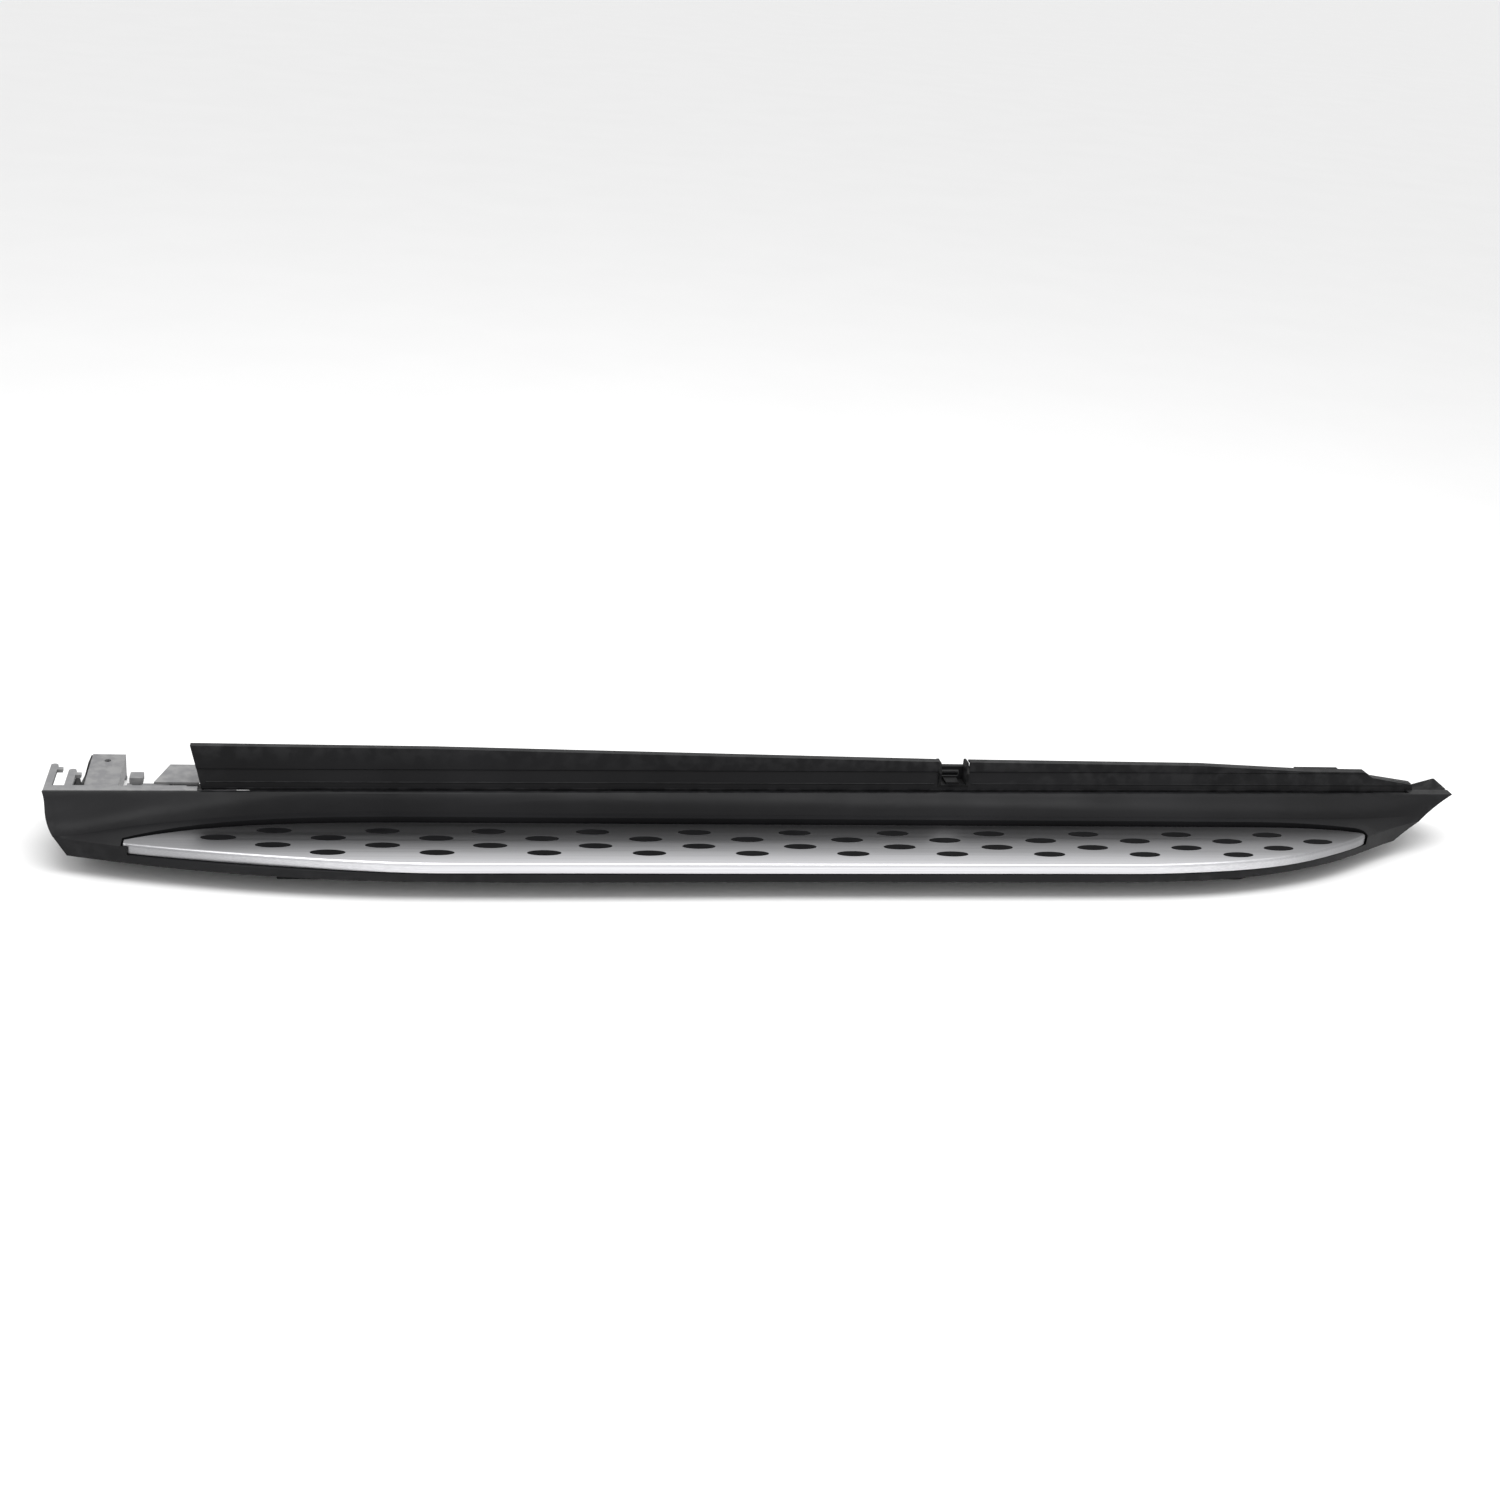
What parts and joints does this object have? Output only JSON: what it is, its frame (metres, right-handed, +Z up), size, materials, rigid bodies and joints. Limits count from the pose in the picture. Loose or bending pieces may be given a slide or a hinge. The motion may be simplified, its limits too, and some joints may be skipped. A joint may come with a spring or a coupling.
{
  "type": "running board",
  "caption": "Sill-mounted running board: black moulded step body and tall panel, tapered aluminium tread with oval rubber studs, and an inner carrier with bolt slots and end arms.",
  "frame": {"origin": "middle of the underside, on the surface that the board stands on", "axes": "+X towards the rear of the car along the board, -Y outboard, +Z up"},
  "size_m": [1.996, 0.3649, 0.137],
  "materials": {
    "skin_plastic": "fine moulded grain, black, satin",
    "carrier_plastic": "black glass-filled moulding, semi-matt",
    "inner_plastic": "grey unpainted moulding, rough",
    "tread_aluminium": "brushed along the length, satin anodised",
    "stud_rubber": "matt black",
    "bracket_steel": "black electrocoat",
    "beam_aluminium": "mill finish",
    "zinc_steel": "zinc plated"
  },
  "bodies": {
    "root": {"step_body": "skin_plastic", "sill_panel": "skin_plastic", "tread_plate": "tread_aluminium", "tread_mat": "stud_rubber", "tread_nuts": "zinc_steel", "panel_screws": "zinc_steel", "notch_clip": "carrier_plastic", "carrier": "carrier_plastic", "bracket_bolts": "zinc_steel", "bracket_nuts": "zinc_steel", "support_beam": "beam_aluminium", "beam_plugs": "carrier_plastic", "bottom_cover": "carrier_plastic", "cover_screws": "zinc_steel", "front_end_support": "inner_plastic", "rear_end_support": "carrier_plastic", "front_arm": "inner_plastic", "rear_arm": "carrier_plastic", "rear_arch_plate": "carrier_plastic", "front_arch_plate": "carrier_plastic", "mount_bracket_1": "bracket_steel", "mount_bracket_2": "bracket_steel", "mount_bracket_3": "bracket_steel", "mount_bracket_4": "bracket_steel", "mount_bracket_5": "bracket_steel"}
  },
  "joints": []
}
